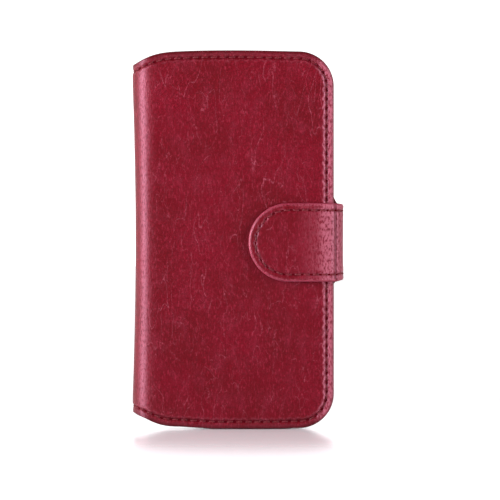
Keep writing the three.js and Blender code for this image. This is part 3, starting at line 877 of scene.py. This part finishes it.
def make_lining(side):
    """A cover's lining and its half of the spine's, a thin sheet with rounded edges."""
    rear = side > 0
    depth_in = REAR_LINING if rear else FRONT_LINING
    patch = cover_patch(inset=LINING_INSET, fine=0.3, coarse=1.1, rim=2.4)
    distance = patch.distance
    flat, faces, window = cut_window(patch, rear)

    def depth_at(u):
        return SPINE_WALL + (depth_in - SPINE_WALL) * smoothstep(U_TANGENT - 0.5, U_TANGENT + 3.5, u)

    soft = 0.03 * value_noise(mirrored(flat, side), 9, 11) * smoothstep(1, 6, distance)
    valley = 0.16 * hump(distance, STITCH_INSET - LINING_INSET, 0.4)
    round_off = 0.22 * (1 - smoothstep(0, 0.5, distance))
    depth = depth_at(flat[:, 0])
    name = f"{COVERS[side]}_cover_lining"
    piece = make_slab(name, LINING, cover_wrap(*flat.T, soft + valley + round_off - depth, side),
                      cover_wrap(*flat.T, LINING_THICKNESS - depth, side), faces, patch.closed, window,
                      turned=not rear)
    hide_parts(*(["rear_lining"] if rear else ["front_lining", "spine_lining"]))
    blend_spine(piece)
    line = patch.line(STITCH_INSET - LINING_INSET)
    row = stitch_row(*resample(line, STITCH_PITCH, STITCH_PITCH / 2), LINING_STITCH_DEPTH)

    def place(u, v, height):
        return cover_wrap(u, v, -depth_at(u) - height, side)

    make_stitches(name, [row], place, [], lambda made: blend_spine(made))


def make_pad(side):
    """A cover's thin pad of foam under the leather, softly rounded at its edges."""
    rear = side > 0
    node = f"{COVERS[side]}_foam"
    low, high = box_mm(node)
    thickness = high[1] - low[1]
    top_depth = LEATHER_REAR - high[1] if rear else low[1] - LEATHER_FRONT
    patch = cover_patch(inset=COVER_RIGHT - high[0], fine=0.5, coarse=2.2,
                        start=U_TANGENT + low[0] - TANGENT_X, rim=2.0)
    flat, faces, window = cut_window(patch, rear, WINDOW_FRAME)
    fall = 0.3 * (1 - smoothstep(0, 1.6, patch.distance)) * thickness
    piece = make_slab(f"{COVERS[side]}_padding", FOAM, cover_wrap(*flat.T, -top_depth - fall, side),
                      cover_wrap(*flat.T, -top_depth - thickness, side), faces, patch.closed, window)
    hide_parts(node)
    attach(piece, f"{COVERS[side]}_cover")


def make_panel(name, node, corner, notched, stitched):
    """A pocket or card slot panel: a thin folded sheet with a free mouth on its left."""
    low, high = box_mm(node)
    bottom, top, right = low[2], high[2], high[0]
    middle, half = (top + bottom) / 2, (top - bottom) / 2
    rows = bottom + (top - bottom) * edge_shares(top - bottom, 0.3, 1.1, 2.4)
    left = np.full(len(rows), low[0])
    if notched:
        reach = np.sqrt(np.clip(THUMB_RADIUS ** 2 - (rows - middle) ** 2, 0, None))
        left += np.maximum(reach - THUMB_SINK, 0)
    across = spread((0, 0.04, 0.004), (0.04, 0.5, 0.02), (0.5, 0.96, 0.02), (0.96, 1, 0.004))
    xs = left + (right - left) * across[:, None]
    cut = corner - np.sqrt(np.maximum(corner ** 2 - np.clip(xs - (right - corner), 0, corner) ** 2, 0))
    zs = middle + (rows - middle) * (half - cut) / half
    x, z = xs.ravel(), zs.ravel()
    flat, loop = np.stack([x, z], 1), grid_outline(*xs.shape)
    mouth = x - np.tile(left, len(across))
    valley = 0.08 * hump(mouth, 1.5, 0.3)
    if stitched:
        seam = np.minimum(np.minimum(z - bottom, top - z), right - x)
        valley += 0.10 * hump(seam, PANEL_STITCH_INSET, 0.35)
    face_y = high[1] - 0.16 * rolled_edge(edge_distance(flat, flat[loop]), 0.4) - valley
    piece = make_slab(name, LINING, np.stack([x, face_y, z], 1),
                      np.stack([x, np.full(len(x), low[1] + 0.02), z], 1), grid_faces(*xs.shape), loop)
    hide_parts(node)
    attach(piece, "front_cover")
    if not stitched:
        return
    turn = max(corner, PANEL_STITCH_INSET)
    radius = turn - PANEL_STITCH_INSET
    angles = np.linspace(0, math.pi / 2, 9)
    arc = np.stack([right - turn + radius * np.sin(angles), bottom + turn - radius * np.cos(angles)], 1)
    lower = np.concatenate([[(left.max() + 1, bottom + PANEL_STITCH_INSET)], arc])
    path = np.concatenate([lower, lower[::-1] * [1, -1] + [0, bottom + top]])

    def place(x, z, height):
        return np.stack([x, high[1] + height * 0.7, z], 1)

    row = stitch_row(*resample(path, PANEL_PITCH, PANEL_PITCH / 2), LINING_STITCH_DEPTH)
    make_stitches(name, [row], place, [], lambda made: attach(made, "front_cover"))


# ---- strap

STRAP_MIDDLE = (STRAP_LOW + STRAP_HIGH) / 2
STRAP_HALF = (STRAP_HIGH - STRAP_LOW) / 2
STRAP_ROUND = 15.5             # how far the tab's round end reaches along it
STRAP_ROOT_X = COVER_RIGHT - STITCH_INSET
STRAP_SIDE_WALL = 1.5
STRAP_TAB_WALL = STRAP_FACE - FACE - 0.2
SIDE_CUT = 0.5                 # how much narrower the strap is beside the case, at its lower edge
SIDE_HOLLOW = 0.4              # how far the strap's side is drawn in at mid-width
FILLET = 2.3                   # the strap widens by this where it grows out of the cover
SIDE_START = 0.35              # the runs meet this far off the middle, towards the tab
STRAP_FINE = 0.17
STRAP_STITCH_DEPTH = 0.34
UNDER_STITCH_DEPTH = 0.37
PAINTED_EDGE = 0.42            # width of the painted edge on the face
STRAP_SHEET = np.array([300.0, 40.0])   # where the strap lies on the leather's pattern
# Across the front, from left to right: the leather fades into a pale band, partly rubbed wear and partly
# painted highlight, which ends at the crease; past the crease the strap's side gets that pale paint again.
CREASE_X = 37.7
BAND_FADE = (21, 31)
BAND_INNER = (29.6, 34.2)
BAND_OUTER = (37.1, 36.3)
SIDE_WEAR_AND_HIGHLIGHT = (37.2, 37.9)


class StrapRun:
    """The strap's outer face from the middle of its side, towards the tab or the root."""

    def __init__(self, side, tight, easy, change, face, end_x):
        """A tight arc from the side, then an easy one onto the face from the angle of change."""
        self.side, self.face, self.tight, self.easy, self.change = side, face, tight, easy, change
        self.easy_x = STRAP_OUT - tight + (tight - easy) * math.cos(change)
        self.arc_y = face - easy - (tight - easy) * math.sin(change)
        self.straight = self.arc_y - side * SIDE_START
        self.turn = self.straight + tight * change + easy * (math.pi / 2 - change)
        self.end = self.turn + self.easy_x - end_x

    def place(self, s, z, height):
        s, z, height = np.broadcast_arrays(np.asarray(s, float), z, height)
        near = np.clip((s - self.straight) / self.tight, 0, self.change)
        further = s - self.straight - self.tight * self.change
        angle = near + np.clip(further / self.easy, 0, math.pi / 2 - self.change)
        across = np.clip((z - STRAP_MIDDLE) / STRAP_HALF, -1, 1)
        hollow = SIDE_HOLLOW * (1 - across ** 4) * np.cos(angle) ** 2
        easy = self.easy * (np.cos(angle) - np.cos(self.change)) * (angle > self.change)
        rise = self.easy * (np.sin(angle) - np.sin(self.change)) * (angle > self.change)
        x = STRAP_OUT - self.tight * (1 - np.cos(near)) + easy - np.maximum(s - self.turn, 0)
        y = self.side * SIDE_START + np.minimum(s, self.straight) + self.tight * np.sin(near) + rise
        return np.stack([x - hollow + np.cos(angle) * height,
                         MIDDLE_Y + self.side * (y + np.sin(angle) * height), z], -1)

    def front_x(self, s):
        return self.place(s, STRAP_LOW, 0.0)[..., 0]


TAB_RUN = StrapRun(-1, 5.9, 17.0, math.radians(65), STRAP_FACE, STRAP_TIP)
ROOT_RUN = StrapRun(1, 5.0, 5.0, math.radians(45), FACE + 0.12, STRAP_ROOT_X)


def tab_edges(s):
    """The strap's lower and upper edge along the tab run."""
    x = TAB_RUN.front_x(s)
    round_x = np.clip((STRAP_TIP + STRAP_ROUND - x) / STRAP_ROUND, 0, 1)
    half = STRAP_HALF * np.sqrt(np.maximum(1 - round_x ** 2, 0))
    cut = SIDE_CUT * smoothstep(STRAP_OUT - 3.0, STRAP_OUT, x)
    return STRAP_MIDDLE - half + cut, STRAP_MIDDLE + half - 0.4 * cut


def root_edges(s):
    """The strap's edges along the root run, flared where it grows out of the rear cover."""
    x = ROOT_RUN.front_x(s)
    flare = FILLET * np.clip((STRAP_OUT - 1.4 - x) / 1.9, 0, 1.6) ** 1.5
    return STRAP_LOW + SIDE_CUT - 0.5 * flare, STRAP_HIGH - 0.4 * SIDE_CUT + flare


def strap_height(distance, holes):
    roll = 1.1
    edge = -0.85 * roll * rolled_edge(distance, roll)
    valley = -0.24 * hump(distance, STITCH_INSET, 0.38)
    pucker = -0.26 * hump(holes, 0, 0.65)
    pad = 0.12 * smoothstep(STITCH_INSET, STITCH_INSET + 1.6, distance) - 0.12
    return edge + valley + pucker + pad


def strap_patch(run, edges):
    """The run's sheet, and the lines that its stitches follow."""
    if run is TAB_RUN:
        tail = run.end - (0.0075 * np.arange(11) ** 2)[::-1] - 1e-4
        s = spread((0, 0.05, 0.05), (0.05, run.turn + 1, 0.28), (run.turn + 1, run.end - 15, 0.45),
                   (run.end - 15, run.end - 4.5, 0.32), (run.end - 4.5, tail[0] - STRAP_FINE, STRAP_FINE))
        s = np.concatenate([s, tail])
    else:
        s = spread((0, 0.05, 0.05), (0.05, run.straight + 2, 0.3), (run.straight + 2, run.end, 0.2))
    patch = Patch(s, *edges(s), edge_shares(2 * STRAP_HALF, STRAP_FINE, 0.42, 4.2))
    if run is TAB_RUN:
        return patch, [patch.line(STITCH_INSET)]
    rows = len(patch.flat) // len(s)
    low_edge, high_edge = patch.flat[::rows], patch.flat[rows - 1::rows]
    patch.distance = np.minimum(edge_distance(patch.flat, low_edge), edge_distance(patch.flat, high_edge))
    return patch, [low_edge + [0, STITCH_INSET], high_edge - [0, STITCH_INSET]]


def strap_wall(run, s):
    """The strap's thickness: thin beside the case, filled over the front."""
    if run is ROOT_RUN:
        return np.full_like(np.asarray(s, float), STRAP_SIDE_WALL)
    return STRAP_SIDE_WALL + (STRAP_TAB_WALL - STRAP_SIDE_WALL) * smoothstep(run.turn - 8, run.turn - 1, s)


def blend_strap(piece):
    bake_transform(piece)


def make_strap_leather(prefix, run, patch, holes):
    """The strap's leather, its cut edge painted and its bend onto the front creased, with painted shade in
    the crease and a pale band there that is partly rubbing and partly painted highlight.
    """
    flat, distance, out = patch.flat, patch.distance, patch.outward()
    s, z = flat.T
    height = strap_height(distance, nearest(flat, holes))
    # Painted highlight mixed with wear along the rolled edge.
    wear = 0.4 * hump(distance, 0.6, 0.35)
    crease = np.zeros(len(flat))
    if run is TAB_RUN:
        crease_at = run.straight + run.tight * math.acos(1 - (STRAP_OUT - CREASE_X) / run.tight)
        crease = hump(s, crease_at, 0.33)
        height += 0.05 * value_noise(flat, 7, 21) * smoothstep(1.5, 4, distance) - 0.32 * crease
        height += 0.12 * hump(s, crease_at + 1.6, 1.2)
        # The bend's pale band and the side past the crease: painted highlight mixed with rubbing.
        x = run.front_x(s)
        bend = smoothstep(*BAND_INNER, x + 0.7 * value_noise(flat, 2.0, 24)) * smoothstep(*BAND_OUTER, x)
        wear = wear + bend * 0.9 + 0.20 * smoothstep(*BAND_FADE, x) * (1 - bend)
        wear = wear + 0.42 * smoothstep(*SIDE_WEAR_AND_HIGHLIGHT, x)
    # Painted shade in the stitched valley and in the crease.
    shade = np.maximum(hump(distance, STITCH_INSET, 0.38), 1.3 * crease)
    shell = Shell(run.place(s, z, height), patch.faces, flat=flat + STRAP_SHEET, wear=wear, shade=shade)
    row, wall = patch.loop, strap_wall(run, patch.edge[:, 0])
    for share in (0.45, 0.55):
        depth = 1.05 + np.maximum(wall - 1.05, 0.2) * share
        place = patch.edge + out * 0.05
        row = shell.add_row(row, run.place(*place.T, -depth), wear=0.0, shade=0.0,
                            flat=patch.edge + out * depth[:, None] + STRAP_SHEET)
    leather = shell.make(f"{prefix}_leather", [LEATHER, EDGE_PAINT], turned=run is ROOT_RUN)
    painted = np.ones(sum(map(len, shell.faces)), np.int32)
    painted[:len(patch.faces)] = distance[patch.faces].mean(1) < PAINTED_EDGE
    leather.data.polygons.foreach_set("material_index", painted)
    return leather


def make_strap_lining(prefix, run, patch):
    """The microfibre under the strap, its edge rounded up to the painted one."""
    s, z = patch.flat.T
    out, row, wall = patch.outward(), patch.loop, strap_wall(run, patch.edge[:, 0])
    under = 0.25 * (1 - smoothstep(0, 0.6, patch.distance)) - strap_wall(run, s)
    shell = Shell(run.place(s, z, under), patch.faces[:, ::-1])
    for outset, share in ((0.02, 0.82), (0.03, 0.6)):
        place = patch.edge + out * outset
        row = shell.add_row(row, run.place(*place.T, -wall * share), flip=True)
    return shell.make(f"{prefix}_lining", [LINING], turned=run is ROOT_RUN)


def make_strap_run(prefix, run, edges, leather_nodes, lining_nodes, thread_nodes):
    """Leather, lining and stitches of one run of the strap."""
    patch, lines = strap_patch(run, edges)
    stitched = []
    for line in lines:
        points, directions = resample(line, STITCH_PITCH, STITCH_PITCH / 2)
        keep = points[:, 0] < (run.turn - 1.5 if run is ROOT_RUN else run.end)
        stitched.append((points[keep], directions[keep]))
    holes = np.concatenate([p + d * STITCH_PITCH / 2 for p, d in stitched])
    leather = make_strap_leather(prefix, run, patch, holes)
    lining = make_strap_lining(prefix, run, patch)
    if leather_nodes:
        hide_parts(*leather_nodes)
    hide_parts(*lining_nodes)
    for piece in (leather, lining):
        blend_strap(piece)

    def place_under(s, z, height):
        return run.place(s, z, -strap_wall(run, s) - height)

    for name, depth, place, nodes in ((prefix, STRAP_STITCH_DEPTH, run.place, thread_nodes),
                                      (f"{prefix}_lining", UNDER_STITCH_DEPTH, place_under, [])):
        rows = [stitch_row(*row, depth) for row in stitched]
        make_stitches(name, rows, place, nodes, lambda piece: blend_strap(piece))


def make_tab_filler():
    """The soft stiffener in the tab, a rounded slab round the magnet."""
    low, high = box_mm("tab_filler")
    magnet_low, magnet_high = box_mm("tab_magnet")
    centre = (magnet_low + magnet_high) / 2
    inner = (magnet_high[0] - magnet_low[0]) / 2 + 0.3
    half_z = (high[2] - low[2]) / 2
    # From the hole outwards and back: share of the way to the rim, share of the depth.
    profile = [(0.0, 0.0), (0.03, 0.10), (0.5, 0.04), (0.94, 0.12), (1.0, 0.35), (1.0, 0.9), (0.5, 1.0),
               (0.0, 1.0)]
    steps, size = 72, len(profile)
    verts, faces = [], []
    for k in range(steps):
        angle = 2 * math.pi * k / steps
        ray = np.array([math.cos(angle), math.sin(angle)])
        reach = half_z
        if ray[0] > 0:
            reach = min((high[0] - centre[0]) / max(ray[0], 1e-6), half_z / max(abs(ray[1]), 1e-6))
        start, after = k * size, (k + 1) % steps * size
        for j, (share, drop) in enumerate(profile):
            x, z = centre[0::2] + ray * inner + ray * (reach - inner) * share
            verts.append((x, low[1] + (high[1] - low[1]) * drop, z))
            following = (j + 1) % size
            faces.append((start + j, start + following, after + following, after + j))
    piece = make_object("tab_padding", verts, faces, [FOAM])
    recalculate(piece)
    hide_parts("tab_filler")
    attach(piece, "strap_tab")


# ---- building the case

front_row = make_cover_skin(-1)
rear_row = make_cover_skin(1)
make_cover_stitches(-1, *front_row, ["front_stitching", "spine_stitching_top"])
make_cover_stitches(1, *rear_row, ["rear_stitching", "spine_stitching_bottom"])
make_lining(-1)
make_lining(1)
make_pad(-1)
make_pad(1)

make_panel("cash_pocket", "cash_pocket_panel", CORNER_RADIUS - 5, notched=False, stitched=True)
for number in (1, 2, 3):
    make_panel(f"card_slot_{number}", f"card_slot_panel_{number}", 1.5, notched=True, stitched=number == 3)

make_strap_run("strap_tab", TAB_RUN, tab_edges, ["tab_leather", "strap_side_leather"],
               ["tab_lining", "strap_side_lining"], ["tab_stitching", "strap_side_stitching_top"])
make_strap_run("strap_root", ROOT_RUN, root_edges, [], ["strap_root_lining"],
               ["strap_side_stitching_bottom"])
make_tab_filler()

CAD_LOOKS = {
    "rear_board": BOARD, "front_board": BOARD, "front_keeper_disc": STEEL, "tab_magnet": MAGNET,
    "phone_shell": PLASTIC,
}
for node, look in CAD_LOOKS.items():
    for material_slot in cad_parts[node].material_slots:
        material_slot.material = look


# ---- floor, light and camera

FLOOR_HALF = 20.0              # metres
FLOOR_MIRROR = 0.6             # the share of the floor's light that is a mirror image
WORLD_PEAK = 1.5               # the backdrop's colours are stored as shares of this


def make_floor():
    """White acrylic, part of its light a soft mirror image; further out it glows a little."""
    n = Nodes("white_acrylic")
    away = n.node("ShaderNodeVectorMath")
    away.operation = "LENGTH"
    n.feed(n.place(), away.inputs[0])
    away = away.outputs["Value"]
    white = n.mix(n.noise(n.place(), 3.0), (0.93, 0.93, 0.93, 1), (0.95, 0.95, 0.95, 1))
    parts = (n.node("ShaderNodeBsdfDiffuse", Color=white),
             n.node("ShaderNodeBsdfGlossy", Color=(1, 1, 1, 1),
                    Roughness=n.scaled(n.ramp(away, 0.05, 0.33), 0.36, 0.12)))
    both = n.node("ShaderNodeMixShader")
    both.inputs[0].default_value = FLOOR_MIRROR
    glow = n.node("ShaderNodeEmission", Strength=n.times(n.ramp(away, 0.25, 1.0), 0.4))
    whole = n.node("ShaderNodeAddShader")
    for part, socket in (*zip(parts, both.inputs[1:]), *zip((both, glow), whole.inputs)):
        n.feed(part.outputs[0], socket)
    n.feed(whole.outputs[0], n.tree.nodes["Material Output"].inputs["Surface"])
    n.tree.nodes.remove(n.shader)
    mesh = bpy.data.meshes.new("floor")
    corners = [(x * FLOOR_HALF, y * FLOOR_HALF, 0) for x, y in ((-1, -1), (1, -1), (1, 1), (-1, 1))]
    mesh.from_pydata(corners, [], [(0, 1, 2, 3)])
    mesh.materials.append(n.owner)
    floor = bpy.data.objects.new("floor", mesh)
    bpy.context.scene.collection.objects.link(floor)
    floor.location.z = -0.0001


def softbox(name, place, width, height, radiance, tint=(1, 1, 1)):
    """A rectangular light aimed at the case, of a given brightness."""
    data = bpy.data.lights.new(name, "AREA")
    data.shape = "RECTANGLE"
    data.size, data.size_y = width, height
    data.energy = radiance * math.pi * width * height
    data.color = tint
    lamp = bpy.data.objects.new(name, data)
    bpy.context.scene.collection.objects.link(lamp)
    lamp.location = place
    aim = Vector((0, 0, HEIGHT / 2 * MM)) - lamp.location
    lamp.rotation_euler = aim.to_track_quat("-Z", "Y").to_euler()


def make_world():
    """A studio with a white backdrop, darker on the camera's side."""
    n = Nodes("studio", bpy.data.worlds)
    split = n.node("ShaderNodeSeparateXYZ", Vector=n.place("Generated"))
    ramp = n.node("ShaderNodeValToRGB")
    n.feed(n.scaled(split.outputs["Y"], 0.5, 0.5), ramp.inputs[0])
    for index, (position, value) in enumerate(((0.25, 0.05), (0.55, 0.35), (0.85, 0.6), (0.96, 1.4))):
        stop = ramp.color_ramp.elements[index] if index < 2 else ramp.color_ramp.elements.new(position)
        stop.position = position
        stop.color = (value / WORLD_PEAK,) * 3 + (1,)
    background = n.tree.nodes["Background"]
    background.inputs["Color"].default_value = (1, 1, 1, 1)
    n.feed(n.times(ramp.outputs[0], WORLD_PEAK), background.inputs["Strength"])
    bpy.context.scene.world = n.owner


make_floor()
make_world()
softbox("left_softbox", (-0.87, -0.50, 0.22), 0.55, 0.9, 21.0, (1.0, 0.93, 1.0))
softbox("left_fill", (-1.2, 0.15, 0.25), 0.9, 0.9, 1.5)
softbox("right_softbox", (0.87, -0.50, 0.22), 0.50, 0.9, 13.0, (1.0, 0.95, 1.0))
bpy.context.scene.view_settings.view_transform = "Standard"

FRAME_WIDTH = 191.3            # millimetres across the picture at the case's front face
VIEW_X = 4.8
VIEW_Z = 68.5
CAMERA_BACK = 2.0              # metres
SENSOR_WIDTH = 36
camera_data = bpy.data.cameras.new("camera")
camera_data.sensor_width = SENSOR_WIDTH
camera_data.lens = SENSOR_WIDTH * (CAMERA_BACK + LEATHER_FRONT * MM) / (FRAME_WIDTH * MM)
camera_data.clip_end = 100
camera = bpy.data.objects.new("camera", camera_data)
bpy.context.scene.collection.objects.link(camera)
camera.location = (VIEW_X * MM, -CAMERA_BACK, VIEW_Z * MM)
camera.rotation_euler = (math.pi / 2, 0, 0)
bpy.context.scene.camera = camera
